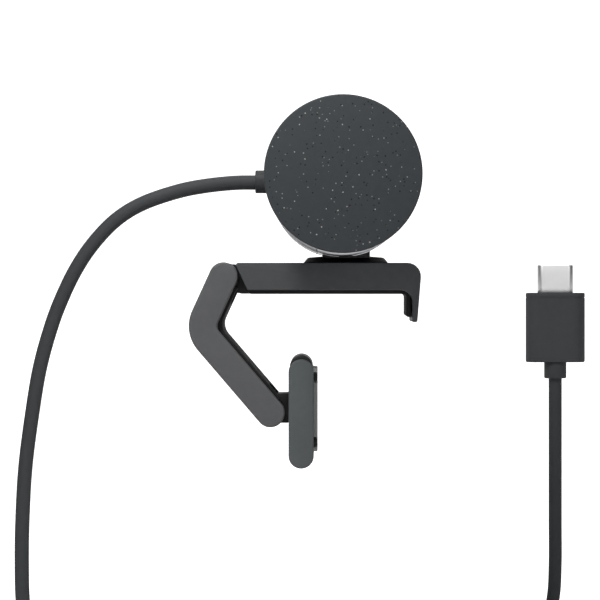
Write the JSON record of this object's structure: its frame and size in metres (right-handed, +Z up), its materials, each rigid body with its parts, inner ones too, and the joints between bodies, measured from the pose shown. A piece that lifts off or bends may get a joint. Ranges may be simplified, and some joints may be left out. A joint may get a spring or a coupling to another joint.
{
  "type": "webcam",
  "caption": "Cylindrical webcam with a lens shutter dial, on a swivel and tilt mount over a folding monitor clip, with a captive cable and plug.",
  "frame": {"origin": "on the flat rubber underside of the clip, straight below the swivel axis, where the monitor's top edge rests", "axes": "+X the way the lens looks, +Y along the barrel towards its shutter dial, +Z up along the swivel axis"},
  "size_m": [0.1275, 0.1383, 0.1278],
  "materials": {
    "graphite": "moulded, fine satin texture",
    "speckled_cap": "matt, with small pale and black flecks",
    "silver_shell": "silver grey, smooth front half",
    "woven_shell": "silver grey, fine perforated texture",
    "black_plastic": "black, fine texture",
    "liner_rubber": "matt rubber",
    "arm_grey": "grey, fine satin texture",
    "pad_grey": "grey, fine satin texture",
    "cord_jacket": "matt flexible jacket",
    "steel": "plain steel",
    "plug_steel": "nickel plated, fine brushing",
    "brass": "gold plated can",
    "aluminium": "die cast",
    "lens_glass": "coated optical glass",
    "circuit_board": "solder mask",
    "chip_black": "moulded chip package",
    "light_pipe": "clear moulded light guide"
  },
  "bodies": {
    "clip": {"clip_bar": "graphite", "clip_liner": "liner_rubber", "clip_hinge_lug": "black_plastic", "arm_hinge_pin": "steel", "arm_washer_near": "steel", "arm_washer_far": "steel", "lug_screw_near": "steel", "lug_screw_far": "steel"},
    "mount": {"mount_base": "black_plastic", "tilt_shoe": "aluminium", "tilt_screw": "steel", "spring_washer": "steel", "spindle_circlip": "steel", "cord_lead": "cord_jacket", "cord_coil": "cord_jacket", "cord_tail": "cord_jacket", "coil_tie": "black_plastic", "plug_collar": "cord_jacket", "plug_overmould": "graphite", "plug_shell": "plug_steel", "plug_tongue": "black_plastic"},
    "head": {"front_shell": "silver_shell", "rear_shell": "woven_shell", "end_cap": "speckled_cap", "lens_bezel": "black_plastic", "lens_window": "lens_glass", "lens_barrel": "black_plastic", "lens_element": "lens_glass", "image_sensor": "chip_black", "sensor_board": "circuit_board", "chassis": "aluminium", "main_board": "circuit_board", "video_chip": "chip_black", "memory_chip": "chip_black", "cord_connector": "light_pipe", "board_screw_near_lower": "steel", "board_screw_near_upper": "steel", "board_screw_far_lower": "steel", "board_screw_far_upper": "steel", "microphone_near": "brass", "microphone_far": "brass", "status_led": "chip_black", "light_pipe": "light_pipe", "cord_gland": "graphite"},
    "shutter_dial": {"dial_ring": "graphite", "dial_cap": "speckled_cap", "shutter_blade": "black_plastic"},
    "arm": {"arm_shell": "arm_grey", "arm_liner": "liner_rubber", "pad_hinge_pin": "steel"},
    "pad": {"pad_knuckle": "black_plastic", "pad_shell": "pad_grey", "pad_core": "black_plastic", "pad_face": "liner_rubber", "grip_strip_lower": "black_plastic", "grip_strip_upper": "black_plastic", "pad_washer_near": "steel", "pad_washer_far": "steel"}
  },
  "joints": [
    {"name": "swivel", "type": "hinge", "parent": "clip", "child": "mount", "pos_m": [0, 0, 0.0067], "axis": [0, 0, 1], "range_deg": [-90, 90]},
    {"name": "head_tilt", "type": "hinge", "parent": "mount", "child": "head", "pos_m": [-0.0009, 0, 0.0239], "axis": [0, 1, 0], "range_deg": [-10, 30]},
    {"name": "shutter_turn", "type": "hinge", "parent": "head", "child": "shutter_dial", "pos_m": [-0.0009, 0.05, 0.0239], "axis": [0, 1, 0], "range_deg": [0, 45]},
    {"name": "arm_fold", "type": "hinge", "parent": "clip", "child": "arm", "pos_m": [-0.02575, 0, 0.00367], "axis": [0, 1, 0], "range_deg": [-30, 50]},
    {"name": "pad_tip", "type": "hinge", "parent": "arm", "child": "pad", "pos_m": [-0.0159, 0, -0.02495], "axis": [0, 1, 0], "range_deg": [-25, 60]}
  ]
}
